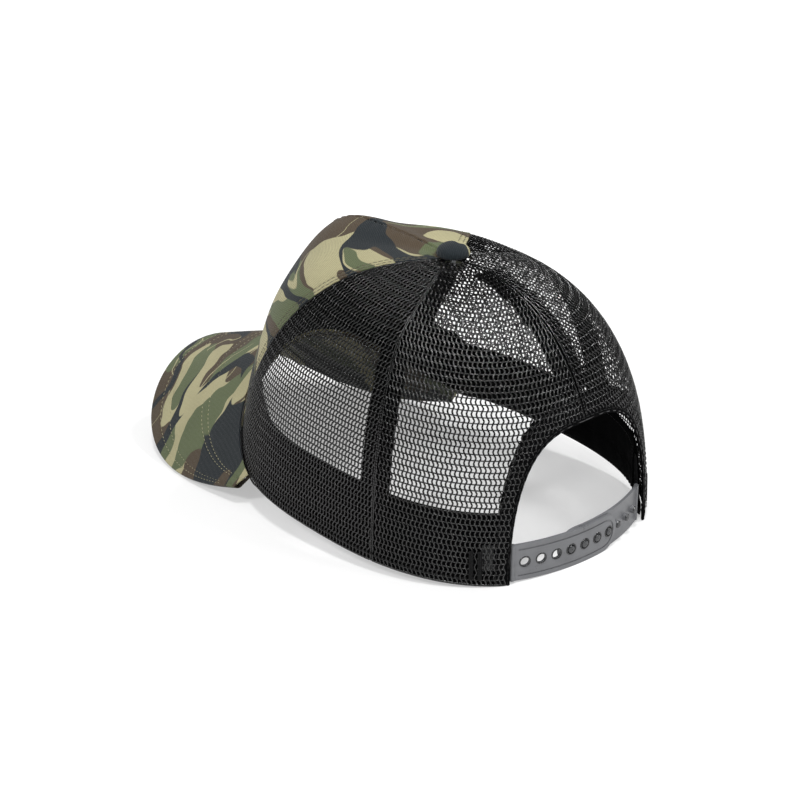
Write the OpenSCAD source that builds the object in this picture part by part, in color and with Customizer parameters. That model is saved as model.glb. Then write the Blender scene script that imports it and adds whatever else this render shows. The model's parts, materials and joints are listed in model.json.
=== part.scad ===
// Trucker cap with a structured front panel, mesh sides and back, a curved
// visor and a snap strap across the rear opening. Millimetres, +Z up.
//
// The cap frame has its XY plane at the hem of the crown, the visor towards -Y
// and the wearer's left side towards +X. on_table() pitches the finished cap
// so that the rear hem and both visor sides touch the plane z = 0, and moves it
// so that the origin lies below the middle of its whole length.
//
// A place on the crown is given by three values:
//   th  angle round the head, 0 at the front, 90 at the left, 180 at the back
//   w   share of the way up the meridian, 0 at the hem and 1 at the top
//   d   depth below the outer surface, in mm
// A place on the visor is given by three values:
//   c   share of the way across, -1 at the right end and 1 at the left end
//   s   share of the way out, 0 at the crown and 1 at the outer edge
//   n   height over the middle surface of the visor, in mm

/* [Crown] */
// Half length of the head opening, from the centre to the front
hem_half_len = 100; // [94:1:104]
// Half width of the head opening
hem_half_wid = 75; // [71:1:79]
// Height of the crown over the hem
crown_h = 116; // [110:1:122]
// How far the button sits behind the centre of the head opening
apex_y = 7.5; // [4:0.5:10]
// Thickness of the mesh and of the front cloth
cloth_t = 0.8; // [0.6:0.1:0.9]
// Thickness of the stiff lining behind the front panel
lining_t = 1.4; // [1.0:0.1:1.5]

/* [Seams] */
// Angle of the front seams at the hem
front_seam_th = 35; // [32:1:38]
// How far the front seams move back on their way to the top, in degrees
front_seam_sweep = 50; // [44:1:54]
// Angle of the side seams at the hem
rear_seam_th = 106; // [102:1:110]
// Width of the tape that covers each seam inside the crown
tape_w = 12; // [9:1:13]
// Thickness of the seam tape
tape_t = 0.7; // [0.5:0.1:0.8]

/* [Sweatband] */
// Height of the sweatband
sweatband_h = 31; // [26:1:34]
// Thickness of the padding inside the sweatband
padding_t = 1.4; // [1.0:0.1:1.6]
// Thickness of the cloth that covers the padding
band_cover_t = 0.6; // [0.4:0.1:0.7]

/* [Visor] */
// Distance from the crown to the tip of the visor, in plan
visor_reach = 80; // [70:1:84]
// Half width of the visor, in plan
visor_half_w = 69; // [68.5:0.5:71]
// Height of the middle of the visor over the hem, where it meets the crown
visor_arch = 38; // [34:1:40]
// How far the sides of the visor curl down below its middle
visor_dip = 54; // [50:1:56]
// Fall of the visor per mm towards its tip
visor_slope = 0.385; // [0.34:0.005:0.4]
// Thickness of the stiff board inside the visor
board_t = 2.0; // [1.6:0.1:2.2]
// Thickness of the cloth above and below the board
visor_cloth_t = 0.7; // [0.5:0.1:0.8]

/* [Rear opening] */
// Half angle of the rear opening at the hem
opening_half_th = 28.5; // [28:0.1:29]
// Height of the arch, as a share of the way up the meridian
arch_w = 0.35; // [0.32:0.01:0.37]
// Width of the cloth binding round the arch
binding_w = 9.5; // [8:0.5:10]

/* [Snap strap] */
// Height of the strap
strap_h = 17.5; // [16:0.5:18]
// Thickness of the strap
strap_t = 1.3; // [1.2:0.1:1.4]
// Number of holes, and of studs
snap_count = 7; // [5:1:7]
// Angle between neighbouring holes
snap_pitch = 4.7; // [4.5:0.1:4.7]
// Radius of each hole
hole_r = 2.15; // [2.1:0.05:2.2]
// Radius of each stud
stud_r = 1.65; // [1.5:0.05:1.65]

/* [Button] */
// Radius of the covered button on top
button_r = 7.4; // [7.2:0.1:9]
// Height of the covered button
button_h = 5; // [4:0.5:6]

/* [Standing] */
// Nose-up pitch of the cap on a table
pitch = 6.1; // [5:0.1:7]

/* [Hidden] */

$fn = 48;

// Squareness of the hem outline: 2 is an ellipse
hem_power = 2.5;
// Fullness of the meridians: how square they are at the front and at the back
front_power = 7.4;
back_power = 2.6;
power_fade = 25;
// Inward lean of the front
lean = 0.2;
// Sag of the front shoulders below the top, and the ridge that the dart holds up
shoulder = 12;
shoulder_spread = 55;
ridge = 7.5;
ridge_spread = 14;
// Dip of the crown under the button
dimple = 2.5;
dimple_spread = 0.25;
// Button: height of its parts over the top of the crown, and their thicknesses
button_lift = 1.5;
button_cloth_t = 0.7;
post_r = 1.2;
post_z = -5.6;
post_h = 7;
washer_r = 6;
washer_z = -5.4;
washer_h = 0.8;
// Share of the way up at which panels and tapes stop short of the button post
panel_top_w = 0.95;
tape_top_w = 0.86;
side_tape_top_w = 0.8;
dart_tape_top_w = 0.8;
// Gap between the edges of neighbouring panels, and between layers, in mm
seam_gap = 0.3;
layer_gap = 0.4;
// Squareness of the rear opening's outline, and the length of the back meridian
arch_power = 2.6;
meridian_mm = 145;
// How far the binding stands out from the mesh
binding_proud = 0.5;
// Share of the way up at which lining and tapes start over the hem or the binding
hem_turn_w = 0.02;
tape_start_w = 0.03;
// Depths of the layers inside the crown
lining_d = cloth_t + layer_gap;
tape_d = cloth_t + layer_gap;
dart_tape_d = lining_d + lining_t + 0.5;
padding_d = lining_d + lining_t + 0.6;
band_cover_d = padding_d + padding_t + layer_gap;
// Height of the lower edge of the sweatband over the hem
band_lift = 2.5;
// Angle at which the sweatband stops, ahead of the strap tabs
band_end_th = 138.5;
// Grid of the panels: rows up a meridian
panel_rows = 18;

// Visor outline: squareness, and the y of its two ends
visor_power = 2.8;
visor_root_y = -57;
visor_end_th = 60;
// Half width at which the curl is measured
visor_ref_w = 66;
// Gap from the crown to the board at the middle, and how much less it is at the ends
visor_gap = 2.2;
visor_gap_fall = 1.2;
top_cloth_gap = 1.6;
visor_cols = 28;
visor_rows = 8;
// Inset of the board from the outer edge of the cloth, and the gap between them
board_inset = 2.5;
board_gap = 0.2;
// Stitch rows: share of the way out, thread width and thread height
stitch_rows = [0.9, 0.8, 0.45, 0.38];
thread_w = 0.6;
thread_h = 0.35;
thread_gap = 0.1;

// Strap arc: centre on the Y axis, and radii of the two straps' middles
strap_cy = 4.8;
strap_mid_r = 92.5;
strap_space = 0.2;
inner_mid_r = strap_mid_r - strap_t - strap_space;
strap_z = 0.8;
snap_z = strap_z + strap_h / 2;
hinge_psi = 25;
// First hole from the tip of the left strap, the margin beyond it, and how many
// studs are snapped into holes
first_hole_psi = -6.6;
tip_margin = 3.4;
snapped = 4;
// Round nose of each strap on its hinge line, its clearance in the tab, and the
// angle between the hinge line and the end of the strap inside the nose
nose_r = 1.1;
nose_gap = 0.08;
nose_bury = 0.3;
// How far a stud stands out past the left strap
stud_proud = 0.25;
// Groove along the edges of the straps
groove_inset = 2;
groove_w = 0.8;
groove_depth = 0.3;
// Sewn tabs: length, direction and hem angle
tab_len = 13;
tab_turn = 39.5;
// Angles of the bar tacks over the tabs, and the heights of their ends
tack_th = [138.3, 141.2];
tack_low = 3;
tack_high = 17;
tack_half_th = 0.6;

// Place of the hem plane's centre over the table: towards the back, and up
table_shift = 39.45;
table_lift = 9.7;

// ---------------------------------------------------------------- crown

// Signed power
function spow(v, e) = sign(v) * pow(abs(v), e);

// Angle from the front, 0 to 180, for any th
function turn(th) = 180 - abs(180 - abs(th));

// Smooth step from 0 to 1
function ease(lo, hi, v) =
    let (t = max(0, min(1, (v - lo) / (hi - lo))))
    t * t * (3 - 2 * t);

// Point of the hem outline in plan
function rim(th, d = 0) = [
    (hem_half_wid - d) * spow(sin(th), 2 / hem_power),
    -(hem_half_len - d) * spow(cos(th), 2 / hem_power)
];

// Height of the visor's middle surface at a point in plan
function visor_z(p) =
    visor_arch + visor_slope * (p[1] + hem_half_len) - visor_dip * pow(p[0] / visor_ref_w, 2);

// Height of the hem: it arches over the visor and is flat elsewhere
function hem_z(th, d = 0) =
    let (p = rim(th, d))
    visor_z(p) * max(0, min(1, (visor_root_y + 8 - p[1]) / 8));

function meridian_power(th) = back_power + (front_power - back_power) * exp(-turn(th) / power_fade);

// Sag below the top, which fades towards the hem and the button
function shoulder_sag(th) =
    shoulder * exp(-pow(turn(th) / shoulder_spread, 2)) - ridge * exp(-pow(turn(th) / ridge_spread, 2));

// Point of the crown
function crown_pt(th, w, d = 0) =
    let (m = meridian_power(th),
         a = 90 * w,
         r = pow(pow(cos(a), m) + pow(sin(a), m), -1 / m),
         up = r * sin(a),
         out = r * cos(a) * (1 - lean * pow(cos(turn(th) / 2), 2) * up),
         apex = [0, apex_y],
         p = apex + (rim(th, d) - apex) * out,
         dip = dimple * exp(-pow(out / dimple_spread, 2)),
         z = hem_z(th, d) * (1 - up) + (crown_h - d) * up - shoulder_sag(th) * out * up - dip)
    [p[0], p[1], z];

// Share of the way up the meridian at a height over the hem
function w_at(th, h) =
    let (m = meridian_power(th),
         up = h / (crown_h - hem_z(th) - shoulder_sag(th)))
    atan2(up, pow(1 - pow(up, m), 1 / m)) / 90;

// Angle that spans a length on the crown, at a share of the way up
function span(len_mm, th, w) =
    let (p = crown_pt(th, w))
    len_mm / norm([p[0], p[1] - apex_y]) * 180 / PI;

// Seam lines: the angle of each seam at a share of the way up
front_seam = function (w) front_seam_th + front_seam_sweep * w;
side_seam = function (w) rear_seam_th + 6 * ease(0.5, 0.8, w);
back_seam = function (w) 180;
dart_seam = function (w) 0;

// Outline of the rear opening, grown by some mm: half angle at the hem, and height
function arch_half(grow) = opening_half_th + span(grow, 180 - opening_half_th, 0);
function arch_top(grow) = arch_w + grow / meridian_mm;

// Lower edge of the back panels, above the binding of the arch
function arch_edge(th, grow) =
    let (t = min(1, (180 - turn(th)) / arch_half(grow)))
    arch_top(grow) * pow(1 - pow(t, arch_power), 1 / arch_power);

// ------------------------------------------------------------- skin solids

function tris(p, q, r, s) = [[p, q, r], [p, r, s]];

// Closed solid between two grids of points, outer seen with rows to the right
module skin(outer, inner) {
    n = len(outer);
    m = len(outer[0]);
    k = n * m;
    polyhedron(
        points = concat([for (row = outer) each row], [for (row = inner) each row]),
        faces = concat(
            [for (i = [0 : n - 2], j = [0 : m - 2])
                let (a = i * m + j)
                each concat(
                    tris(a, a + 1, a + m + 1, a + m),
                    tris(k + a, k + a + m, k + a + m + 1, k + a + 1)
                )],
            [for (i = [0 : n - 2])
                let (a = i * m, b = i * m + m - 1)
                each concat(tris(a, a + m, k + a + m, k + a), tris(b + m, b, k + b, k + b + m))],
            [for (j = [0 : m - 2])
                let (a = j, b = (n - 1) * m + j)
                each concat(tris(a + 1, a, k + a, k + a + 1), tris(b, b + 1, k + b + 1, k + b))]
        )
    );
}

// Evenly spaced values from lo to hi
function steps(lo, hi, n) = [for (i = [0 : n]) lo + (hi - lo) * i / n];

// Part of the crown between two seams, from low(th) to top, at depth d
module crown_panel(from, to, shares, d, t, low, top = panel_top_w) {
    function grid(depth) = [
        for (u = shares)
            let (lo = low(from(0) + (to(0) - from(0)) * u))
            [for (w = steps(lo, top, panel_rows))
                let (a = from(w) + span(seam_gap / 2, from(w), w),
                     b = to(w) - span(seam_gap / 2, to(w), w))
                crown_pt(a + (b - a) * u, w, depth)]
    ];
    skin(grid(d), grid(d + t));
}

// Strip of the crown centred on a seam line
module seam_tape(seam, low, d, top = tape_top_w) {
    function grid(depth) = [
        for (side = [-1, 0, 1])
            [for (w = steps(low, top, panel_rows))
                crown_pt(seam(w) + side * span(tape_w / 2, seam(w), w), w, depth)]
    ];
    skin(grid(d), grid(d + tape_t));
}

// ------------------------------------------------------------- front

module front_panel() {
    color("darkkhaki")
        crown_panel(
            function (w) -front_seam(w), front_seam, steps(0, 1, 28), 0, cloth_t,
            low = function (th) 0
        );
}

module front_lining() {
    edge = function (w) front_seam(w) - span(tape_w / 2 + 1, front_seam(w), w);
    color("darkslategray")
        crown_panel(
            function (w) -edge(w), edge, steps(0, 1, 28), lining_d, lining_t,
            low = function (th) hem_turn_w, top = tape_top_w
        );
}

module dart_tape() {
    color("black")
        seam_tape(
            dart_seam, w_at(0, sweatband_h + band_lift) + tape_start_w,
            dart_tape_d, dart_tape_top_w
        );
}

// ------------------------------------------------------------- mesh

module mesh_side() {
    color("dimgray")
        crown_panel(front_seam, side_seam, steps(0, 1, 14), 0, cloth_t, low = function (th) 0);
}

module mesh_side_left() {
    mesh_side();
}

module mesh_side_right() {
    mirror([1, 0, 0])
        mesh_side();
}

module mesh_back() {
    corner = (180 - arch_half(binding_w) - rear_seam_th) / (180 - rear_seam_th);
    shares = concat(
        steps(0, corner, 5),
        [for (b = steps(0, 90, 9)) if (b > 0) corner + (1 - corner) * (1 - pow(cos(b), 1.2))]
    );
    color("dimgray")
        crown_panel(
            side_seam, back_seam, shares, 0, cloth_t,
            low = function (th) arch_edge(th, binding_w)
        );
}

module mesh_back_left() {
    mesh_back();
}

module mesh_back_right() {
    mirror([1, 0, 0])
        mesh_back();
}

// ------------------------------------------------------------- tapes

module front_seam_tape_left() {
    color("black")
        seam_tape(front_seam, hem_turn_w, tape_d);
}

module front_seam_tape_right() {
    mirror([1, 0, 0])
        front_seam_tape_left();
}

module side_seam_tape_left() {
    color("black")
        seam_tape(side_seam, hem_turn_w, tape_d, side_tape_top_w);
}

module side_seam_tape_right() {
    mirror([1, 0, 0])
        side_seam_tape_left();
}

module back_seam_tape() {
    color("black")
        seam_tape(back_seam, arch_edge(180, binding_w) + tape_start_w, tape_d);
}

// Cloth folded over the edge of the rear opening
module arch_binding() {
    function grid(depth) = [
        for (b = steps(0, 180, 44))
            [for (grow = [0.2, binding_w / 2, binding_w - 0.3])
                let (th = 180 - arch_half(grow) * spow(cos(b), 2 / arch_power),
                     w = arch_top(grow) * pow(sin(b), 2 / arch_power))
                crown_pt(th, w, depth)]
    ];
    color("black")
        skin(grid(-binding_proud), grid(cloth_t + layer_gap));
}

// ------------------------------------------------------------- sweatband

// Band inside the crown over the hem
module band(d, t, low, high, end_th) {
    function grid(depth) = [
        for (th = steps(-end_th, end_th, 64))
            [for (h = [low, (low + high) / 2, high])
                crown_pt(th, w_at(th, h), depth)]
    ];
    skin(grid(d), grid(d + t));
}

module sweatband_padding() {
    color("whitesmoke")
        band(padding_d, padding_t, band_lift + 1, band_lift + sweatband_h - 1, band_end_th - 1);
}

module sweatband_cover() {
    color("black")
        band(band_cover_d, band_cover_t, band_lift, band_lift + sweatband_h, band_end_th);
}

// ------------------------------------------------------------- visor

// Outer edge of the visor in plan
function visor_outline(c) = [
    visor_half_w * spow(sin(90 * c), 2 / visor_power),
    visor_root_y - (visor_reach + hem_half_len + visor_root_y) * pow(cos(90 * c), 2 / visor_power)
];

// Point of the visor, moved outwards by grow mm past the share s
function visor_pt(c, s, n, grow = 0, gap = visor_gap) =
    let (root = rim(visor_end_th * c, -gap + visor_gap_fall * c * c),
         edge = visor_outline(c),
         away = (edge - root) / norm(edge - root),
         p = root + (edge - root) * s + away * grow,
         v = [2 * visor_dip * p[0] / pow(visor_ref_w, 2), -visor_slope, 1])
    [p[0], p[1], visor_z(p)] + v * n / norm(v);

function visor_cs(limit) = [for (a = steps(90, -90, visor_cols)) limit * sin(a)];

module visor_board() {
    function grid(n) = [
        for (c = visor_cs(0.95))
            [for (s = steps(0, 1, visor_rows)) visor_pt(c, s, n, -board_inset * s)]
    ];
    color("white")
        skin(grid(board_t / 2), grid(-board_t / 2));
}

// Cloth on one face of the board, turned over the outer edge to the middle
module visor_cloth(side) {
    near = board_t / 2 + board_gap;
    far = near + visor_cloth_t;
    gap = side > 0 ? top_cloth_gap : visor_gap;
    function grid(n, e, drop) = [
        for (c = visor_cs(0.97))
            concat(
                [for (s = steps(0, 1, visor_rows)) visor_pt(c, s, side * n, e * s, gap)],
                [visor_pt(c, 1, side * n * 0.6, e * 0.6 + drop), visor_pt(c, 1, side * 0.05, drop)]
            )
    ];
    if (side > 0)
        skin(grid(far, -1, 0), grid(near, -1.8, -0.8));
    else
        skin(grid(near, -1.8, -0.8), grid(far, -1, 0));
}

module visor_top_cloth() {
    color("darkkhaki")
        visor_cloth(1);
}

module visor_under_cloth() {
    color("saddlebrown")
        visor_cloth(-1);
}

// Rows of thread on the top of the visor
module visor_stitching() {
    base = board_t / 2 + board_gap + visor_cloth_t + thread_gap;
    half = thread_w / 2;
    function grid(row, n) = [
        for (c = visor_cs(0.9))
            [for (grow = [-half, half]) visor_pt(c, row, n, grow)]
    ];
    color("khaki")
        for (row = stitch_rows)
            skin(grid(row, base + thread_h), grid(row, base));
}

// ------------------------------------------------------------- button

// Places a part of the button on its axis, at a height over the crown's top
module on_button(z) {
    translate([0, apex_y, crown_h - dimple + z])
        children();
}

// Half of a dome's section: an elliptical arc of radius r and height h
function dome(r, h) = [for (a = steps(0, 90, 12)) [r * cos(a), h * pow(sin(a), 0.8)]];

// Cloth drawn over the shell of the button
module button_cover() {
    inside = dome(button_r - button_cloth_t, button_h - button_cloth_t);
    color("darkkhaki")
        on_button(button_lift)
            rotate_extrude()
                polygon(concat(dome(button_r, button_h), [for (i = [12 : -1 : 0]) inside[i]]));
}

module button_shell() {
    color("silver")
        on_button(button_lift)
            rotate_extrude()
                polygon(dome(button_r - button_cloth_t - 0.2, button_h - button_cloth_t - 0.2));
}

module button_post() {
    color("silver")
        on_button(post_z)
            cylinder(r = post_r, h = post_h);
}

module button_washer() {
    color("silver")
        on_button(washer_z)
            difference() {
                cylinder(r = washer_r, h = washer_h);
                translate([0, 0, -washer_h])
                    cylinder(r = post_r + 0.1, h = 3 * washer_h);
            }
}

// ------------------------------------------------------------- snap strap

// Place on the strap arc, psi degrees towards the left from the back centre
module on_arc(psi, r) {
    translate([0, strap_cy, 0])
        rotate([0, 0, -psi])
            translate([0, r, 0])
                children();
}

// Curved band between two angles, seen from the back as a strip with one round end
module arc_strip(mid_r, t, from_psi, tip_psi, inset = 0) {
    tip_x = mid_r * sin(tip_psi);
    toward = sign(from_psi - tip_psi);
    h = strap_h - 2 * inset;
    round_x = tip_x + toward * (inset + h / 2);
    low = min(from_psi, tip_psi - toward * 3);
    high = max(from_psi, tip_psi - toward * 3);
    intersection() {
        translate([0, strap_cy, strap_z + inset])
            rotate([0, 0, 90 - high])
                rotate_extrude(angle = high - low)
                    translate([mid_r - t / 2, 0])
                        square([t, h]);
        translate([0, 2 * mid_r, 0])
            rotate([90, 0, 0])
                linear_extrude(height = 2 * mid_r)
                    union() {
                        translate([round_x, snap_z])
                            circle(r = h / 2);
                        translate([min(round_x, toward * mid_r), snap_z - h / 2])
                            square([abs(toward * mid_r - round_x), h]);
                    }
    }
}

// Groove line along the edges of a strap's outer face
module edge_groove(mid_r, from_psi, tip_psi) {
    toward = sign(from_psi - tip_psi);
    difference() {
        arc_strip(mid_r + strap_t / 2, groove_depth * 2, from_psi - toward * 1.6, tip_psi, groove_inset);
        arc_strip(
            mid_r + strap_t / 2, groove_depth * 4, from_psi + toward, tip_psi,
            groove_inset + groove_w
        );
    }
}

// Strap with a round nose on its hinge line, as it is on the left side
module strap_body(mid_r, tip_psi) {
    arc_strip(mid_r, strap_t, hinge_psi - nose_bury, tip_psi);
    on_arc(hinge_psi, mid_r)
        translate([0, 0, strap_z])
            cylinder(r = nose_r, h = strap_h);
}

// Left strap, with the holes
module strap_left() {
    tip_psi = first_hole_psi - tip_margin;
    color("dimgray")
        difference() {
            strap_body(strap_mid_r, tip_psi);
            edge_groove(strap_mid_r, hinge_psi, tip_psi);
            for (i = [0 : snap_count - 1])
                on_arc(first_hole_psi + snap_pitch * i, strap_mid_r)
                    translate([0, 2, snap_z])
                        rotate([90, 0, 0])
                            cylinder(r = hole_r, h = 4);
        }
}

// Right strap, with the studs, behind the left strap: built on the left and mirrored
module strap_right() {
    first_stud_psi = -first_hole_psi - snap_pitch * (snapped - 1);
    stud_len = strap_t / 2 + strap_space + strap_t + stud_proud;
    color("dimgray")
        mirror([1, 0, 0])
            union() {
                strap_body(inner_mid_r, first_stud_psi - tip_margin);
                for (i = [0 : snap_count - 1])
                    on_arc(first_stud_psi + snap_pitch * i, inner_mid_r)
                        translate([0, 0, snap_z])
                            rotate([-90, 0, 0])
                                cylinder(r = stud_r, h = stud_len);
            }
}

// Sewn end of a strap: a flat tab with a round seat for the strap's nose
module strap_tab(mid_r) {
    on_arc(hinge_psi, mid_r)
        rotate([0, 0, hinge_psi - tab_turn])
            difference() {
                translate([0, -strap_t / 2, strap_z])
                    cube([tab_len, strap_t, strap_h]);
                translate([0, 0, strap_z - 1])
                    cylinder(r = nose_r + nose_gap, h = strap_h + 2);
            }
}

module strap_left_tab() {
    color("dimgray")
        strap_tab(strap_mid_r);
}

module strap_right_tab() {
    color("dimgray")
        mirror([1, 0, 0])
            strap_tab(inner_mid_r);
}

// Dense stitches that hold the tabs, on the outer face of the mesh
module bar_tacks() {
    function grid(th, d) = [
        for (e = [-1, 0, 1])
            [for (h = steps(tack_low, tack_high, 4)) crown_pt(th + e * tack_half_th, w_at(th, h), d)]
    ];
    color("black")
        for (side = [0, 1])
            mirror([side, 0, 0])
                for (th = tack_th)
                    skin(grid(th, -0.6), grid(th, -0.15));
}

// ------------------------------------------------------------- standing

// Puts the cap frame on the table
module on_table() {
    translate([0, table_shift, table_lift])
        rotate([-pitch, 0, 0])
            children();
}

on_table() front_panel();
on_table() front_lining();
on_table() dart_tape();
on_table() mesh_side_left();
on_table() mesh_side_right();
on_table() mesh_back_left();
on_table() mesh_back_right();
on_table() front_seam_tape_left();
on_table() front_seam_tape_right();
on_table() side_seam_tape_left();
on_table() side_seam_tape_right();
on_table() back_seam_tape();
on_table() arch_binding();
on_table() sweatband_padding();
on_table() sweatband_cover();
on_table() visor_board();
on_table() visor_top_cloth();
on_table() visor_under_cloth();
on_table() visor_stitching();
on_table() button_cover();
on_table() button_shell();
on_table() button_post();
on_table() button_washer();
on_table() strap_left();
on_table() strap_right();
on_table() strap_left_tab();
on_table() strap_right_tab();
on_table() bar_tacks();
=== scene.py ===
# Trucker cap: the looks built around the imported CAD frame. Sizes are in mm and
# degrees in the cap frame (hem plane = XY plane, visor towards -Y, wearer's
# left towards +X); to_row() takes them to the row frame in metres.
import json
import math

import bpy
import numpy as np
from mathutils import Matrix, Vector


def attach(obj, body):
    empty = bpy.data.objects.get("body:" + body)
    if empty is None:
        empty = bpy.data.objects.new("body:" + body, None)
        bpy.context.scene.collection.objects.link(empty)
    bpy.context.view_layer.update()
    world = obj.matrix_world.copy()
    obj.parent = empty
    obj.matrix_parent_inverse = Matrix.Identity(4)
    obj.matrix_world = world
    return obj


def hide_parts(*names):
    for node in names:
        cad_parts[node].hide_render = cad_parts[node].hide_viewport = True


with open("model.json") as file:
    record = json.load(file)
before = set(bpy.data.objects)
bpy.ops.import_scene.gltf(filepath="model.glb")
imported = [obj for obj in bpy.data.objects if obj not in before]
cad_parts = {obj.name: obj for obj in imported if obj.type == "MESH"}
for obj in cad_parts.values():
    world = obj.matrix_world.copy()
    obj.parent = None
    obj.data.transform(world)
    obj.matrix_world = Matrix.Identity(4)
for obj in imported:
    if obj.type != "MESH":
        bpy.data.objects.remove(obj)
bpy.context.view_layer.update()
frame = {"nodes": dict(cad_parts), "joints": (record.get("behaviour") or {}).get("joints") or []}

# ------------------------------------------------------------------ sizes
HALF_LEN, HALF_WID, CROWN_H = 100.0, 75.0, 116.0
APEX = np.array([0.0, 7.5])
HEM_POWER, LEAN = 2.5, 0.2
FRONT_POWER, BACK_POWER, POWER_FADE = 7.4, 2.6, 25.0
VISOR_ARCH, VISOR_SLOPE, VISOR_DIP, VISOR_REF = 38.0, 0.385, 54.0, 66.0
VISOR_ROOT_Y, VISOR_HALF_W, VISOR_REACH, VISOR_POWER = -57.0, 69.0, 80.0, 2.8
CLOTH_T, TAPE_W, TOP_W, TAPE_TOP_W = 0.8, 12.0, 0.95, 0.86
BAND_H, BAND_LIFT, BAND_LOW, BAND_END = 31.0, 2.5, 1.0, 149.0
BINDING_W, ARCH_HALF, ARCH_W, ARCH_POWER = 9.5, 28.5, 0.35, 2.6
BUTTON_R, BUTTON_H, BUTTON_LIFT, DIMPLE = 7.4, 5.0, 1.5, 2.5
STRAP_CY, STRAP_R, STRAP_T, STRAP_MID_Z = 4.8, 92.5, 1.3, 9.55
SNAP_PITCH, FIRST_HOLE, SNAPS, HOLE_R, STUD_R = 4.7, -6.6, 7, 2.15, 1.65
HINGE_PSI, HINGE_Z = 25.0, 9.5
HEM_RISE = 8.0  # length over which the hem rises to the root of the visor
SAG, SAG_FADE, RIDGE, RIDGE_FADE = 12.0, 55.0, 7.5, 14.0
DIMPLE_SPREAD = 0.25  # share of the way out where the dip under the button fades
FRONT_SEAM, FRONT_TURN, SIDE_SEAM, SIDE_TURN = 35, 50, 106, 6
VISOR_ROOT_TURN, VISOR_ROOT_CURL = 60, 1.2
MM_PER_W = 145.0  # length up the crown near the rear opening per unit of share
SNAP_SHIFT = 3  # holes past the first stud in the worn position

# The hinge of the left strap says where the cap frame is in the row frame.
hinge = next(j for j in frame["joints"] if j["child"] == "strap_left")
PITCH = math.atan2(-hinge["axis"][1], -hinge["axis"][2])
hinge_y = STRAP_CY + STRAP_R * math.cos(math.radians(HINGE_PSI))
SHIFT = 1000 * hinge["pos_m"][1] - hinge_y * math.cos(PITCH) - HINGE_Z * math.sin(PITCH)
LIFT = 1000 * hinge["pos_m"][2] + hinge_y * math.sin(PITCH) - HINGE_Z * math.cos(PITCH)


def to_row(p):
    """Cap frame in mm to row frame in metres."""
    p = np.asarray(p, float)
    c, s = math.cos(PITCH), math.sin(PITCH)
    x, y, z = p[..., 0], p[..., 1], p[..., 2]
    return np.stack([x, y * c + z * s + SHIFT, -y * s + z * c + LIFT], -1) * 0.001


# ---------------------------------------------------------- crown and visor
def spow(v, e):
    """Power that keeps the sign."""
    return np.sign(v) * np.abs(v) ** e


def turn(th):
    """Angle from the middle of the front, 0 to 180 either way."""
    return 180 - np.abs(180 - np.abs(th))


def ease(lo, hi, v):
    """Smooth step from 0 at lo to 1 at hi."""
    t = np.clip((v - lo) / (hi - lo), 0, 1)
    return t * t * (3 - 2 * t)


def rim(th, d=0.0):
    """Hem outline in plan, at depth d."""
    t = np.radians(th)
    return np.stack(
        [
            (HALF_WID - d) * spow(np.sin(t), 2 / HEM_POWER),
            -(HALF_LEN - d) * spow(np.cos(t), 2 / HEM_POWER),
        ],
        -1,
    )


def visor_z(p):
    """Height of the visor's curled surface."""
    x, y = p[..., 0], p[..., 1]
    return VISOR_ARCH + VISOR_SLOPE * (y + HALF_LEN) - VISOR_DIP * (x / VISOR_REF) ** 2


def hem_z(th, d=0.0):
    p = rim(th, d)
    return visor_z(p) * np.clip((VISOR_ROOT_Y + HEM_RISE - p[..., 1]) / HEM_RISE, 0, 1)


def power(th):
    """Fullness of the meridian: square over the front, round behind."""
    return BACK_POWER + (FRONT_POWER - BACK_POWER) * np.exp(-turn(th) / POWER_FADE)


def sag(th):
    """Drop of the shoulder towards the front, less a ridge in its middle."""
    g = turn(th)
    return SAG * np.exp(-((g / SAG_FADE) ** 2)) - RIDGE * np.exp(-((g / RIDGE_FADE) ** 2))


def crown(th, w, d=0.0):
    """Point of the crown: angle th, share w of the way up, depth d."""
    th, w, d = np.broadcast_arrays(
        np.asarray(th, float), np.asarray(w, float), np.asarray(d, float)
    )
    m = power(th)
    a = np.radians(90 * np.clip(w, 1e-6, 1 - 1e-6))
    r = (np.cos(a) ** m + np.sin(a) ** m) ** (-1 / m)
    up = r * np.sin(a)
    out = r * np.cos(a) * (1 - LEAN * np.cos(np.radians(turn(th) / 2)) ** 2 * up)
    p = APEX + (rim(th, d) - APEX) * out[..., None]
    z = hem_z(th, d) * (1 - up) + (CROWN_H - d) * up - sag(th) * out * up
    z = z - DIMPLE * np.exp(-((out / DIMPLE_SPREAD) ** 2))
    return np.concatenate([p, z[..., None]], -1)


def unit(v):
    return v / np.maximum(np.linalg.norm(v, axis=-1, keepdims=True), 1e-9)


def crown_normal(th, w):
    a = crown(th + 0.2, w) - crown(th - 0.2, w)
    wl, wh = np.clip(w - 0.002, 0.001, 0.99), np.clip(w + 0.002, 0.005, 0.995)
    return unit(np.cross(a, crown(th, wh) - crown(th, wl)))


def w_at(th, h):
    """Share of the way up where the crown is h over the hem plane."""
    m = power(th)
    up = h / (CROWN_H - hem_z(th) - sag(th))
    return np.degrees(np.arctan2(up, (1 - up**m) ** (1 / m))) / 90


def span(mm, th, w):
    """Angle that a length takes round the crown."""
    p = crown(th, w)[..., :2] - APEX
    return mm / np.linalg.norm(p, axis=-1) * 180 / np.pi


def front_seam(w):
    return FRONT_SEAM + FRONT_TURN * w


def side_seam(w):
    return SIDE_SEAM + SIDE_TURN * ease(0.5, 0.8, w)


def back_seam(w):
    return 180 + 0 * w


def centre_seam(w):
    return 0 * w


def arch_half(grow):
    return ARCH_HALF + span(grow, 180 - ARCH_HALF, 0.0)


def arch_top(grow):
    return ARCH_W + grow / MM_PER_W


def arch_edge(th, grow):
    """Share of the way up at the edge of the rear opening, moved out by grow."""
    t = np.minimum(1, (180 - turn(th)) / arch_half(grow))
    return arch_top(grow) * (1 - t**ARCH_POWER) ** (1 / ARCH_POWER)


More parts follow.
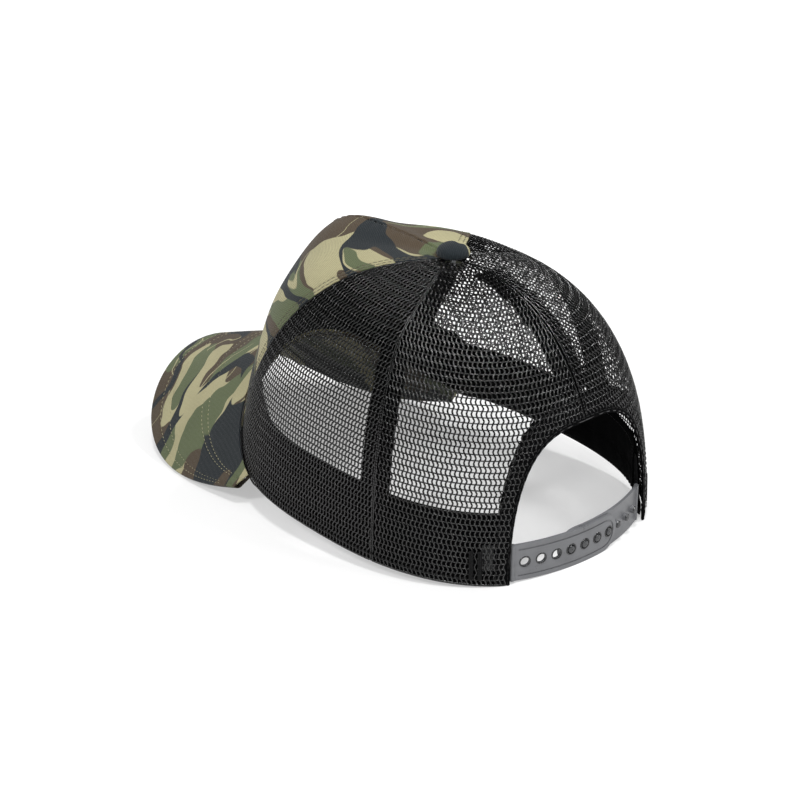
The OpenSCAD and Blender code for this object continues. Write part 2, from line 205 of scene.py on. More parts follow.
def visor(c, s, n, grow=0.0, gap=2.2):
    """Point of the visor: share c across, share s out, height n, moved out by grow."""
    c, s, n, grow = np.broadcast_arrays(
        *[np.asarray(v, float) for v in (c, s, n, grow)]
    )
    root = rim(VISOR_ROOT_TURN * c, -gap + VISOR_ROOT_CURL * c * c)
    b = np.radians(90 * c)
    edge = np.stack(
        [
            VISOR_HALF_W * spow(np.sin(b), 2 / VISOR_POWER),
            VISOR_ROOT_Y
            - (VISOR_REACH + HALF_LEN + VISOR_ROOT_Y) * np.cos(b) ** (2 / VISOR_POWER),
        ],
        -1,
    )
    p = root + (edge - root) * s[..., None] + unit(edge - root) * grow[..., None]
    k = 2 * VISOR_DIP * p[..., 0] / VISOR_REF**2
    v = unit(np.stack([k, -VISOR_SLOPE + 0 * k, 1 + 0 * k], -1))
    return np.concatenate([p, visor_z(p)[..., None]], -1) + v * n[..., None]


# ------------------------------------------------------------- mesh making
def rides(obj, body, replaced=()):
    """Puts a piece on a body and the nodes it stands for."""
    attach(obj, body)
    if replaced:
        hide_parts(*replaced)
    return obj


def make(name, verts, faces, mat, slot, replaced=(), body="crown", cloth=None):
    """An object from cap-frame points in mm and a list of face arrays."""
    mesh = bpy.data.meshes.new(name)
    verts = to_row(np.reshape(verts, (-1, 3)))
    mesh.vertices.add(len(verts))
    mesh.vertices.foreach_set("co", verts.astype(np.float32).ravel())
    faces = [f for f in faces if len(f)]
    corners = np.concatenate([np.ravel(f) for f in faces])
    sizes = np.concatenate([np.full(len(f), f.shape[1]) for f in faces])
    mesh.loops.add(len(corners))
    mesh.loops.foreach_set("vertex_index", corners.astype(np.int32))
    mesh.polygons.add(len(sizes))
    starts = np.concatenate([[0], np.cumsum(sizes)[:-1]])
    mesh.polygons.foreach_set("loop_start", starts.astype(np.int32))
    mesh.update(calc_edges=True)
    mesh.polygons.foreach_set("use_smooth", np.ones(len(sizes), bool))
    if cloth is not None:
        a = mesh.attributes.new("cloth", "FLOAT_VECTOR", "POINT")
        flat = np.zeros((len(verts), 3), np.float32)
        flat[:, :2] = np.reshape(cloth, (-1, 2))
        a.data.foreach_set("vector", flat.ravel())
    mesh.validate()
    mesh.materials.append(mat)
    obj = bpy.data.objects.new(name, mesh)
    bpy.context.scene.collection.objects.link(obj)
    return rides(obj, body, replaced)


def grid_faces(n, m, base=0, wrap=False, flip=False):
    """Quads of an n by m grid of points; wrap joins the last column to the first."""
    i, j = np.meshgrid(np.arange(n - 1), np.arange(m if wrap else m - 1), indexing="ij")
    k = (j + 1) % m
    q = np.stack([i * m + j, (i + 1) * m + j, (i + 1) * m + k, i * m + k], -1)
    q = q.reshape(-1, 4) + base
    return q[:, ::-1] if flip else q


def grid_normals(p):
    return unit(np.cross(np.gradient(p, axis=0), np.gradient(p, axis=1)))


def arc_coords(p):
    """Lengths over a grid: across each row from its middle, and up the middle."""
    n = p.shape[0]
    step = np.linalg.norm(np.diff(p, axis=0), axis=-1)
    x = np.concatenate([np.zeros((1, p.shape[1])), np.cumsum(step, 0)])
    x = x - x[n // 2]
    rise = np.linalg.norm(np.diff(p[n // 2], axis=0), axis=-1)
    y = np.concatenate([[0], np.cumsum(rise)])
    return np.stack([x, np.broadcast_to(y, x.shape)], -1)


def sheet(name, outer, inner, mat, slot, **kw):
    """Closed skin between two grids of points, outer and inner."""
    n, m = outer.shape[:2]
    k = n * m
    idx = np.arange(k).reshape(n, m)
    edge = np.concatenate([idx[:-1, 0], idx[-1, :-1], idx[:0:-1, -1], idx[0, :0:-1]])
    nxt = np.roll(edge, -1)
    side = np.stack([edge, edge + k, nxt + k, nxt], -1)
    cloth = kw.pop("cloth", None)
    if cloth is None:
        cloth = arc_coords(outer)
    return make(
        name,
        np.concatenate([outer.reshape(-1, 3), inner.reshape(-1, 3)]),
        [grid_faces(n, m), grid_faces(n, m, k, flip=True), side],
        mat,
        slot,
        cloth=np.concatenate([cloth.reshape(-1, 2)] * 2),
        **kw,
    )


class Yarn:
    """Collects tubes into one mesh."""

    def __init__(self):
        self.verts, self.faces, self.caps, self.cloth, self.count = [], [], [], [], 0

    def tubes(self, paths, normals, wide, thick, sides=6):
        """Tubes along paths (k, p, 3), wide across and thick along the normals."""
        paths, normals = np.atleast_3d(paths), np.atleast_3d(normals)
        if paths.ndim == 2 or len(paths) == 0:
            return
        k, p = paths.shape[:2]
        t = unit(np.gradient(paths, axis=1))
        b = unit(np.cross(t, normals))
        nn = np.cross(b, t)
        ang = np.arange(sides) * 2 * np.pi / sides + np.pi / sides
        wide = np.broadcast_to(wide, (k, p))[..., None, None] / 2
        thick = np.broadcast_to(thick, (k, p))[..., None, None] / 2
        ring = (
            paths[:, :, None]
            + np.cos(ang)[:, None] * wide * b[:, :, None]
            + np.sin(ang)[:, None] * thick * nn[:, :, None]
        )
        along = np.concatenate(
            [
                np.zeros((k, 1)),
                np.cumsum(np.linalg.norm(np.diff(paths, axis=1), axis=-1), 1),
            ],
            1,
        )
        uv = np.stack(
            np.broadcast_arrays(along[..., None], (ang / (2 * np.pi))[None, None]), -1
        )
        one = grid_faces(p, sides, wrap=True)
        off = self.count + np.arange(k)[:, None, None] * (p * sides)
        self.faces.append((one[None] + off).reshape(-1, 4))
        first = np.arange(sides)
        last = first + (p - 1) * sides
        if sides == 4:
            caps = [first[::-1], last]
        else:
            caps = [first[[3, 2, 1, 0]], first[[5, 4, 3, 0]]]
            caps += [last[[0, 1, 2, 3]], last[[0, 3, 4, 5]]]
        self.faces.append((np.array(caps)[None] + off).reshape(-1, 4))
        self.verts.append(ring.reshape(-1, 3))
        self.cloth.append(uv.reshape(-1, 2))
        self.count += k * p * sides

    def tube(self, path, normal, wide, thick, sides=6):
        self.tubes(np.array(path)[None], np.array(normal)[None], wide, thick, sides)

    def object(self, name, mat, slot, **kw):
        return make(
            name,
            np.concatenate(self.verts),
            self.faces,
            mat,
            slot,
            cloth=np.concatenate(self.cloth),
            **kw,
        )


def resample(path, normals, step, start=0.0):
    """Places at even steps along a path, with the normals there."""
    s = np.concatenate(
        [[0], np.cumsum(np.linalg.norm(np.diff(path, axis=0), axis=-1))]
    )
    at = np.arange(start, s[-1], step)
    p = np.stack([np.interp(at, s, path[:, i]) for i in range(3)], -1)
    n = unit(np.stack([np.interp(at, s, normals[:, i]) for i in range(3)], -1))
    return p, n


STEPS = 10  # fine steps per stitch


def stitches(yarn, path, normals, pitch=3.0, gap=0.7, wide=0.42, lift=0.14):
    """A row of thread: each stitch is a short tube that dips in at its ends."""
    fine, nf = resample(path, normals, pitch / STEPS)
    used = int(round((pitch - gap) / pitch * STEPS)) + 1
    count = (len(fine) - used) // STEPS
    if count < 1:
        return
    idx = np.arange(count)[:, None] * STEPS + np.linspace(0, used - 1, 5).round().astype(int)
    arch = np.array([-0.35, 0.55, 1.0, 0.55, -0.35]) * lift
    size = np.array([0.45, 0.9, 1.0, 0.9, 0.45]) * wide
    yarn.tubes(fine[idx] + nf[idx] * arch[None, :, None], nf[idx], size, size * 0.8)


# --------------------------------------------------------------- materials
class Shader:
    """Builds one node material; sockets are passed straight into inputs."""

    def __init__(self, name):
        self.mat = bpy.data.materials.new(name)
        self.mat.use_nodes = True
        self.tree = self.mat.node_tree
        self.tree.nodes.clear()

    def add(self, kind, props=None, **inputs):
        node = self.tree.nodes.new("ShaderNode" + kind)
        for key, value in (props or {}).items():
            setattr(node, key, value)
        for key, value in inputs.items():
            self.put(node.inputs[key.replace("_", " ")], value)
        return node

    def put(self, socket, value):
        if isinstance(value, bpy.types.NodeSocket):
            self.tree.links.new(value, socket)
        else:
            socket.default_value = value

    def math(self, op, a, b=0.0, c=0.0, clamp=False):
        node = self.tree.nodes.new("ShaderNodeMath")
        node.operation, node.use_clamp = op, clamp
        for socket, value in zip(node.inputs, (a, b, c)):
            self.put(socket, value)
        return node.outputs[0]

    def vector(self, op, a, b=(0, 0, 0), scale=None):
        node = self.tree.nodes.new("ShaderNodeVectorMath")
        node.operation = op
        self.put(node.inputs[0], a[:3] if isinstance(a, tuple) else a)
        self.put(node.inputs[1], b)
        if scale is not None:
            self.put(node.inputs["Scale"], scale)
        return node.outputs[0]

    def mix(self, factor, a, b):
        node = self.tree.nodes.new("ShaderNodeMix")
        node.data_type = "RGBA"
        for socket, value in zip((node.inputs[0], node.inputs[6], node.inputs[7]), (factor, a, b)):
            self.put(socket, value)
        return node.outputs[2]

    def cloth(self):
        """Lengths over the cloth in mm."""
        return self.add("Attribute", {"attribute_name": "cloth"}).outputs["Vector"]

    def place(self):
        """Position on the object in mm."""
        at = self.add("TexCoord").outputs["Object"]
        return self.vector("SCALE", at, scale=1000.0)

    def mapped(self, at, scale, shift=(0, 0, 0), turn_z=0.0):
        node = self.add("Mapping", Vector=at, Scale=scale, Location=shift)
        node.inputs["Rotation"].default_value = (0, 0, math.radians(turn_z))
        return node.outputs[0]

    def noise(self, at, scale=1.0, detail=2.0, rough=0.5):
        node = self.add(
            "TexNoise", Vector=at, Scale=scale, Detail=detail, Roughness=rough
        )
        return node.outputs["Factor" if "Factor" in node.outputs else "Fac"]

    def step(self, value, at, soft):
        """0 below at, 1 above it, over a soft width."""
        return self.math("DIVIDE", self.math("SUBTRACT", value, at), soft, clamp=True)

    def wave(self, at, pitch, angle=0.0):
        """0 to 1 ripple across a direction in the cloth."""
        turned = self.mapped(at, (2 * math.pi / pitch,) * 3, turn_z=angle)
        x = self.add("SeparateXYZ", Vector=turned).outputs[0]
        return self.math("MULTIPLY_ADD", self.math("SINE", x), 0.5, 0.5)

    def finish(
        self, colour, rough, height=None, bump_mm=0.1, sheen=0.0, spec=0.5, metal=0.0, glow=0.0
    ):
        b = self.add("BsdfPrincipled")
        self.put(b.inputs["Base Color"], colour)
        self.put(b.inputs["Roughness"], rough)
        self.put(b.inputs["Metallic"], metal)
        self.put(b.inputs["Specular IOR Level"], spec)
        self.put(b.inputs["Sheen Weight"], sheen)
        self.put(b.inputs["Emission Color"], (1, 1, 1, 1))
        self.put(b.inputs["Emission Strength"], glow)
        if height is not None:
            bump = self.add("Bump", Strength=1.0, Distance=bump_mm * 0.001, Height=height)
            self.put(b.inputs["Normal"], bump.outputs[0])
        out = self.add("OutputMaterial")
        self.tree.links.new(b.outputs[0], out.inputs[0])
        return self.mat


def srgb(hexa):
    """Linear colour from a hex code."""
    c = np.array([int(hexa[i : i + 2], 16) for i in (0, 2, 4)]) / 255
    lin = np.where(c <= 0.04045, c / 12.92, ((c + 0.055) / 1.055) ** 2.4)
    return (*[float(v) for v in lin], 1.0)


KHAKI, NAVY, BROWN, OLIVE = map(srgb, ("A6A07C", "1B2226", "4B3F30", "596244"))
TWILL_PITCH, TWILL_ANGLE = 0.95, 62
PRINT_EDGE = 0.006  # softness of the edges of the printed blotches


def camo(name, shift, angle, stretch=2.6, size=1.0, painted_shade_factor=1.0):
    """Printed cotton twill: smooth wavy blotches in four colours."""
    s = Shader(name)
    at = s.cloth()

    def drift(scale, amount):
        """Smooth sideways shift of the print, by up to about half the amount in mm."""
        place = s.mapped(at, (scale,) * 3, shift)
        field = s.add("TexNoise", Vector=place, Scale=1.0, Detail=0.0)
        centred = s.vector("SUBTRACT", field.outputs["Color"], (0.5, 0.5, 0.5))
        return s.vector("SCALE", centred, scale=amount)

    warped = at
    for scale, amount in ((0.016, 46.0), (0.05, 12.0), (0.11, 5.5)):
        warped = s.vector("ADD", warped, drift(scale, amount))

    def layer(mm, offset):
        """Noise for blotches of about this size in mm."""
        scale = (1 / (size * mm * stretch), 1 / (size * mm), 0.0)
        at_layer = s.mapped(warped, scale, (shift[0] + offset, shift[1], offset), angle)
        return s.noise(at_layer, detail=0.0)

    brown = s.step(layer(17, 8.7), 0.50, PRINT_EDGE)
    olive = s.step(layer(19, 3.1), 0.56, PRINT_EDGE)
    band = s.math("ABSOLUTE", s.math("SUBTRACT", layer(26, 14.2), 0.5))
    wide = s.math("MULTIPLY_ADD", layer(24, 21.9), 0.36, -0.128)
    navy = s.step(s.math("SUBTRACT", wide, band), 0.0, PRINT_EDGE)
    streak_v = s.math("ABSOLUTE", s.math("SUBTRACT", layer(15, 30.3), 0.5))
    streak = s.step(s.math("SUBTRACT", 0.014, streak_v), 0.0, PRINT_EDGE)
    dyed = s.mix(brown, KHAKI, BROWN)
    dyed = s.mix(olive, dyed, OLIVE)
    dyed = s.mix(s.math("MULTIPLY", streak, brown), dyed, KHAKI)
    dyed = s.mix(navy, dyed, NAVY)
    uneven = s.math("MULTIPLY_ADD", s.noise(at, 1.3, 3.0), 0.8, 0.4)
    twill = s.math("MULTIPLY", s.wave(at, TWILL_PITCH, TWILL_ANGLE), uneven)
    slub = s.noise(s.mapped(at, (0.5, 4.0, 1.0)), 1.0, 2.0)
    fade = s.math("MULTIPLY_ADD", s.noise(at, 0.035, 3.0), 0.3, 0.78)
    tone = s.math("MULTIPLY_ADD", twill, 0.34, 0.70)
    tone = s.math("MULTIPLY", tone, s.math("MULTIPLY_ADD", slub, 0.35, 0.86))
    # The last factor darkens the whole print as painted shade; the visor's underside uses it for
    # the shadow under the visor.
    tone = s.math("MULTIPLY", s.math("MULTIPLY", tone, fade), painted_shade_factor)
    colour = s.vector("SCALE", dyed, scale=tone)
    height = s.math("ADD", twill, s.math("MULTIPLY", slub, 0.6))
    return s.finish(colour, 0.86, height, 0.16, sheen=0.1, spec=0.2)


def woven(name, hexa, pitch, angle, rough=0.85, bump=0.14, contrast=0.7, sheen=0.03, spec=0.15):
    """Woven cloth or tape in one colour, with ribs across and yarns along."""
    s = Shader(name)
    at = s.cloth()
    rib, yarn = s.wave(at, pitch, angle), s.wave(at, pitch * 0.8, angle + 90)
    weave = s.math("MAXIMUM", rib, s.math("MULTIPLY", yarn, 0.8))
    fuzz = s.noise(at, 2.2, 4.0, 0.65)
    worn = s.noise(at, 0.06, 3.0)
    tone = s.math("MULTIPLY_ADD", weave, contrast, 0.55)
    tone = s.math("MULTIPLY", tone, s.math("MULTIPLY_ADD", fuzz, 0.9, 0.55))
    tone = s.math("MULTIPLY", tone, s.math("MULTIPLY_ADD", worn, 0.4, 0.8))
    colour = s.vector("SCALE", srgb(hexa), scale=tone)
    height = s.math("ADD", weave, s.math("MULTIPLY", fuzz, 0.7))
    return s.finish(colour, rough, height, bump, sheen=sheen, spec=spec)


def thread(name, hexa, rough=0.55, twist=0.55, sheen=0.1, spec=0.5):
    """Twisted yarn: ripples run round the tube at a slant."""
    s = Shader(name)
    at = s.cloth()
    x, y = s.add("SeparateXYZ", Vector=at).outputs[:2]
    along = s.math("MULTIPLY", x, 2 * math.pi / twist)
    phase = s.math("ADD", along, s.math("MULTIPLY", y, 2 * math.pi))
    ply = s.math("MULTIPLY_ADD", s.math("SINE", phase), 0.5, 0.5)
    fuzz = s.noise(s.place(), 1.6, 3.0, 0.6)
    tone = s.math("MULTIPLY_ADD", ply, 0.45, 0.7)
    tone = s.math("MULTIPLY", tone, s.math("MULTIPLY_ADD", fuzz, 0.8, 0.6))
    colour = s.vector("SCALE", srgb(hexa), scale=tone)
    gloss = s.math("MULTIPLY_ADD", fuzz, 0.3, rough - 0.15)
    return s.finish(colour, gloss, s.math("ADD", ply, fuzz), 0.07, sheen=sheen, spec=spec)


def moulded(name, hexa, rough=0.36, grain=0.035, spec=0.5):
    """Moulded plastic: faint grain, flow marks and uneven gloss."""
    s = Shader(name)
    at = s.place()
    fine, broad = s.noise(at, 2.4, 3.0), s.noise(at, 0.12, 3.0)
    flow = s.noise(s.mapped(at, (0.05, 0.05, 0.6)), 1.0, 2.0)
    tone = s.math("MULTIPLY_ADD", broad, 0.5, 0.75)
    tone = s.math("MULTIPLY", tone, s.math("MULTIPLY_ADD", flow, 0.3, 0.85))
    gloss = s.math("MULTIPLY_ADD", broad, 0.22, rough - 0.12)
    gloss = s.math("ADD", gloss, s.math("MULTIPLY", fine, 0.06))
    return s.finish(s.vector("SCALE", srgb(hexa), scale=tone), gloss, fine, grain, spec=spec)


def steel(name):
    """Brushed steel."""
    s = Shader(name)
    at = s.place()
    brushed = s.noise(s.mapped(at, (0.4, 0.4, 9.0)), 1.0, 3.0)
    tone = s.math("MULTIPLY_ADD", s.noise(at, 0.5, 2.0), 0.3, 0.8)
    gloss = s.math("MULTIPLY_ADD", brushed, 0.25, 0.2)
    return s.finish(s.vector("SCALE", srgb("B9BABC"), scale=tone), gloss, brushed, 0.02, metal=1.0)


def button_print(name):
    """Navy twill with a khaki crescent on one side of the button."""
    s = Shader(name)
    at = s.cloth()
    x, y = s.add("SeparateXYZ", Vector=at).outputs[:2]
    bend = s.math("MULTIPLY", s.math("SUBTRACT", s.noise(at, 0.16, 0.0), 0.5), 7.0)
    edge = s.math("ADD", s.math("ADD", x, s.math("MULTIPLY", y, 0.25)), bend)
    khaki = s.step(s.math("MULTIPLY", edge, -1.0), 2.2, 0.12)
    twill = s.wave(at, TWILL_PITCH, TWILL_ANGLE)
    uneven = s.math("MULTIPLY_ADD", s.noise(at, 1.3, 3.0), 0.3, 0.6)
    tone = s.math("MULTIPLY_ADD", twill, 0.3, uneven)
    colour = s.vector("SCALE", s.mix(khaki, NAVY, KHAKI), scale=tone)
    return s.finish(colour, 0.86, twill, 0.16, sheen=0.1, spec=0.2)


front_camo = camo("front_camo", (4.1, 2.6, 0.0), 35, size=1.1)
visor_camo = camo("visor_camo", (6.5, 9.2, 0.0), -4)
# The underside's print is darkened to 0.42 of its colour: painted shade for the shadow under the
# visor.
under_camo_shaded = camo("under_camo_shaded", (9.4, 3.3, 0.0), 10, painted_shade_factor=0.42)
button_camo = button_print("button_camo")
net_yarn = thread("net_yarn", "020202", rough=0.22, twist=1.3, sheen=0.0, spec=0.8)
tape_cloth = woven("tape_cloth", "040405", 0.9, 0, sheen=0.0, spec=0.06)
binding_cloth = woven("binding_cloth", "040405", 0.8, 90, sheen=0.0, spec=0.06)
band_cloth = woven("band_cloth", "040405", 0.8, 45, sheen=0.0, spec=0.04)
backing_cloth = woven("backing_cloth", "050506", 1.4, 30, sheen=0.0, spec=0.05)
pad_foam = woven("pad_foam", "121213", 2.2, 0, contrast=0.3)
tan_thread = thread("tan_thread", "9E9875")
front_thread = thread("front_thread", "5F5A45")
dark_thread = thread("dark_thread", "070708", sheen=0.0, spec=0.25)
# The straps are black plastic; their colour is lightened to mid grey as a painted reflection of
# their broad gloss.
strap_plastic = moulded("strap_plastic", "66676A", rough=0.3, spec=0.8)
# Darker copy of the straps' plastic without the painted reflection: painted shade on the tabs,
# which sit in shadow, and on the rings round the holes.
shaded_strap_plastic = moulded("shaded_strap_plastic", "1B1C1E", rough=0.25, spec=0.8)
dome_plastic = moulded("dome_plastic", "323335", rough=0.22, spec=0.9)
board_plastic = moulded("board_plastic", "DADAD6", rough=0.5)
button_steel = steel("button_steel")


# ------------------------------------------------------------ front panel
def seam_bounds(w, frm, to, edge=0.15):
    """Angles between two seams, short of each by a small gap in mm."""
    a, b = frm(w), to(w)
    return a + span(edge, a, w), b - span(edge, b, w)


FRONT_ROWS = (1.6, 4.0)  # distances of the stitch rows from the front seams
w_rows = (1 - (1 - np.linspace(0, 1, 140)) ** 1.15) * TOP_W
# columns are closer along the seams and along the dart in the middle
u_cols = np.concatenate(
    [np.arange(0, 0.03, 0.002), np.arange(0.03, 0.485, 0.0045), np.arange(0.485, 0.5, 0.0015)]
)
u_cols = np.concatenate([u_cols, [0.5], 1 - u_cols[::-1]])
lo, hi = seam_bounds(w_rows, lambda w: -front_seam(w), front_seam)
TH = lo + (hi - lo) * u_cols[:, None]
WW = np.broadcast_to(w_rows, TH.shape)
base = crown(TH, WW)
flat = arc_coords(base)
X, Y = flat[..., 0], flat[..., 1]
edge_mm = np.minimum(X - X[:1], X[-1:] - X)


def ripples(x, y, seed, amp):
    """Soft unevenness of hand-sewn cloth, up to about amp mm."""
    rng = np.random.default_rng(seed)
    total = 0
    for _ in range(9):
        k = rng.uniform(0.03, 0.16, 2) * rng.choice([-1, 1], 2)
        total = total + np.sin(x * k[0] + y * k[1] + rng.uniform(0, 6.3))
    return total * amp / 4.5


# puckers along the seams, the dart's crease and puckers, dips under the stitch rows
pucker = 0.22 * np.sin(Y * 2 * np.pi / 5.5 + X * 0.05) * np.exp(-edge_mm / 3.2)
dart_fade = ease(0.42, 0.6, WW)
crease = (1.3 * np.exp(-np.abs(X) / 5.0) - 1.5 * np.exp(-((X / 0.7) ** 2))) * dart_fade
crease += 0.18 * np.sin(Y * 2 * np.pi / 6.3) * np.exp(-np.abs(X) / 3.0) * dart_fade
row_dip = -0.22 * sum(np.exp(-(((edge_mm - row) / 0.5) ** 2)) for row in FRONT_ROWS)
raise_ = ripples(X, Y, 3, 0.28) * np.clip(edge_mm / 8, 0, 1) * np.clip(Y / 10, 0, 1)
front_out = base + grid_normals(base) * (pucker + crease + row_dip + raise_)[..., None]
sheet(
    "front_panel_cloth", front_out, front_out - grid_normals(front_out) * CLOTH_T,
    front_camo, "camo_cloth", replaced=["front_panel"], cloth=flat,
)
front_normals = grid_normals(front_out)

lining_edge = TAPE_W / 2 + 1
w_lin = np.linspace(0.02, TAPE_TOP_W, 60)
th_edge = front_seam(w_lin) - span(lining_edge, front_seam(w_lin), w_lin)
th_lin = th_edge * np.linspace(-1, 1, 90)[:, None]
sheet(
    "front_backing", crown(th_lin, w_lin, 1.25), crown(th_lin, w_lin, 2.55),
    backing_cloth, "lining_foam", replaced=["front_lining"],
)

top_rows = Yarn()
for side in (-1, 1):
    for dist in FRONT_ROWS:
        path = []
        for j in range(4, TH.shape[1] - 3):
            x = X[:, j]
            at = x[-1] - dist if side > 0 else x[0] + dist
            path.append(
                [np.interp(at, x, front_out[:, j, i]) for i in range(3)]
                + [np.interp(at, x, front_normals[:, j, i]) for i in range(3)]
            )
        path = np.array(path)
        stitches(top_rows, path[:, :3] + 0.08 * path[:, 3:], path[:, 3:], 2.6, 0.6, 0.4)
top_rows.object("front_topstitch", front_thread, "stitch_thread")


# ------------------------------------------------------------------- net
CELL_X, CELL_Y, ZIG = 2.05, 2.6, 0.5
WALE_W, WALE_T, BAR_W, BAR_T = 0.84, 0.55, 0.74, 0.42
NET_DEPTH, NET_WOB = 0.4, 0.03
ZIG_SHAPE = np.array([0.0, 0.85, 1.0, 0.4, -0.25, -0.8, -1.0, -0.55])
CELL_STEPS = 4  # points of a wale per cell
HALF_REACH, REACH_STEPS = 62, 124  # degrees each way from a panel's middle, and steps


def net_places(frm, to, low, rng):
    """Angles and shares of the wales' points, and which of them are on the panel."""
    fine = np.linspace(0.0, TOP_W, 400)
    centre = crown((frm(fine) + to(fine)) / 2, fine, NET_DEPTH)
    s = np.concatenate([[0], np.cumsum(np.linalg.norm(np.diff(centre, axis=0), axis=-1))])
    ys = np.arange(0.0, s[-1], CELL_Y / CELL_STEPS)
    w_y = np.interp(ys, s, fine)
    mid_y = (frm(w_y) + to(w_y)) / 2
    th_all = mid_y[:, None] + np.linspace(-HALF_REACH, HALF_REACH, 2 * REACH_STEPS + 1)
    ring = crown(th_all, w_y[:, None], NET_DEPTH)
    ring_step = np.linalg.norm(np.diff(ring, axis=1), axis=-1)
    x_all = np.concatenate([np.zeros((len(ys), 1)), np.cumsum(ring_step, 1)], 1)
    x_all -= x_all[:, [REACH_STEPS]]
    half_n = math.floor(np.abs(x_all).max() / CELL_X)
    cols = np.arange(-half_n, half_n + 1)
    phase = ZIG_SHAPE[np.arange(len(ys)) % len(ZIG_SHAPE)] * ZIG
    th_col = np.zeros((len(cols), len(ys)))
    ok = np.zeros_like(th_col, bool)
    a, b = seam_bounds(w_y, frm, to, 0.1)
    for i, c in enumerate(cols):
        x = c * CELL_X + phase + rng.normal(0, NET_WOB, len(ys))
        for j in range(len(ys)):
            th_col[i, j] = np.interp(x[j], x_all[j], th_all[j], left=-999, right=999)
        lo_w = low(np.clip(th_col[i], -180, 180))
        ok[i] = (th_col[i] > a) & (th_col[i] < b) & (w_y >= lo_w)
    return np.where(ok, th_col, mid_y), w_y[None], ok


def net(name, frm, to, low, node, seed):
    """Warp-knit net of one panel: zig-zag wales along it and bars across it."""
    rng = np.random.default_rng(seed)
    th, w, ok = net_places(frm, to, low, rng)
    nrm = crown_normal(th, w)
    pts = crown(th, w, NET_DEPTH) + nrm * rng.normal(0, NET_WOB, th.shape)[..., None]
    yarn = Yarn()
    for i in range(len(th)):
        runs = np.flatnonzero(np.diff(np.concatenate([[0], ok[i].astype(int), [0]])))
        for r0, r1 in runs.reshape(-1, 2):
            if r1 - r0 >= 3:
                yarn.tube(pts[i, r0:r1], nrm[i, r0:r1], WALE_W, WALE_T)
    rows = np.arange(0, th.shape[1], CELL_STEPS)
    ii, jj = np.nonzero(ok[:-1, rows] & ok[1:, rows])
    p0, p1 = pts[ii, rows[jj]], pts[ii + 1, rows[jj]]
    n0 = nrm[ii, rows[jj]]
    paths = np.stack([p0, (p0 + p1) / 2 - n0 * 0.05, p1], 1)
    yarn.tubes(paths, np.repeat(n0[:, None], 3, 1), BAR_W, BAR_T, sides=4)
    # selvedge threads along the seams and along the lower edge
    wl = np.linspace(0.003, TOP_W, 160)
    for seam, shift in ((frm, 0.35), (to, -0.35)):
        th = seam(wl) + span(shift, seam(wl), wl)
        keep = wl >= low(th)
        if keep.sum() > 4:
            yarn.tube(crown(th, wl, NET_DEPTH)[keep], crown_normal(th, wl)[keep], 0.7, 0.6)
    th = frm(0.0) + (to(0.0) - frm(0.0)) * np.linspace(0, 1, 200)
    we = np.maximum(low(th), 0.002)
    yarn.tube(crown(th, we, NET_DEPTH), crown_normal(th, we), 0.9, 0.7)
    yarn.object(name, net_yarn, "black_mesh", replaced=[node])


def flip(seam):
    """The same seam on the right side."""
    return lambda w: -seam(w)


def no_low(th):
    return np.zeros_like(th)


def over_arch(th):
    """The net ends just over the edge of the rear opening."""
    return arch_edge(th, 0.9)


net("net_side_left", front_seam, side_seam, no_low, "mesh_side_left", 11)
net("net_side_right", flip(side_seam), flip(front_seam), no_low, "mesh_side_right", 12)
net("net_back_left", side_seam, back_seam, over_arch, "mesh_back_left", 13)
net("net_back_right", flip(back_seam), flip(side_seam), over_arch, "mesh_back_right", 14)


# ------------------------------------------------------------------ tapes
def tape(name, seam, low, depth, top, node):
    """Woven tape behind a seam, slightly crowned, with puckers along its edges."""
    w = np.linspace(low, top, 90)
    sides = np.linspace(-1, 1, 15)
    th = seam(w) + sides[:, None] * span(TAPE_W / 2, seam(w), w)
    pucker_along = np.sin(np.linspace(0, 143, 90))
    bulge = 0.18 * (1 - sides[:, None] ** 2) + 0.12 * pucker_along * np.abs(sides[:, None])
    grid = crown(th, w, depth)
    normal = grid_normals(grid)
    swell = 0.6 * bulge[..., None]
    sheet(
        name, grid + normal * swell, grid - normal * (0.62 + swell),
        tape_cloth, "black_tape", replaced=[node],
    )
    for s in (-0.62, 0.62):
        line = seam(w) + s * span(TAPE_W / 2, seam(w), w)
        p, n = crown(line, w, depth), crown_normal(line, w)
        stitches(tape_rows, p - n * 0.95, -n, 2.8, 0.6, 0.42)
        stitches(tape_rows, p + n * 0.25, n, 2.8, 0.6, 0.42)


tape_rows = Yarn()
TAPE_DEPTH, DART_DEPTH = 1.2, 3.1
for piece, seam, top in (("front", front_seam, TAPE_TOP_W), ("side", side_seam, 0.8)):
    for side, path in (("left", seam), ("right", flip(seam))):
        node = f"{piece}_seam_tape_{side}"
        tape(f"tape_{piece}_{side}", path, 0.02, TAPE_DEPTH, top, node)
back_low = float(arch_edge(np.array(180.0), BINDING_W)) + 0.01
tape("tape_back", back_seam, back_low, TAPE_DEPTH, TAPE_TOP_W, "back_seam_tape")
dart_low = float(w_at(np.array(0.0), BAND_H + BAND_LIFT)) + 0.03
tape("tape_dart", centre_seam, dart_low, DART_DEPTH, 0.8, "dart_tape")
tape_rows.object("tape_stitches", dark_thread, "black_thread")

# ----------------------------------------------------------- arch binding
def arch_curve(grow):
    """Angles and shares along the rear opening from foot to foot, moved out by grow."""
    reach, rise = spow(np.cos(b_rad), 2 / ARCH_POWER), np.abs(np.sin(b_rad)) ** (2 / ARCH_POWER)
    half = ARCH_HALF + span(1.0, 180 - ARCH_HALF, 0.0) * grow
    return 180 - half * reach, np.clip(arch_top(grow) * rise, LOW_W, 1)


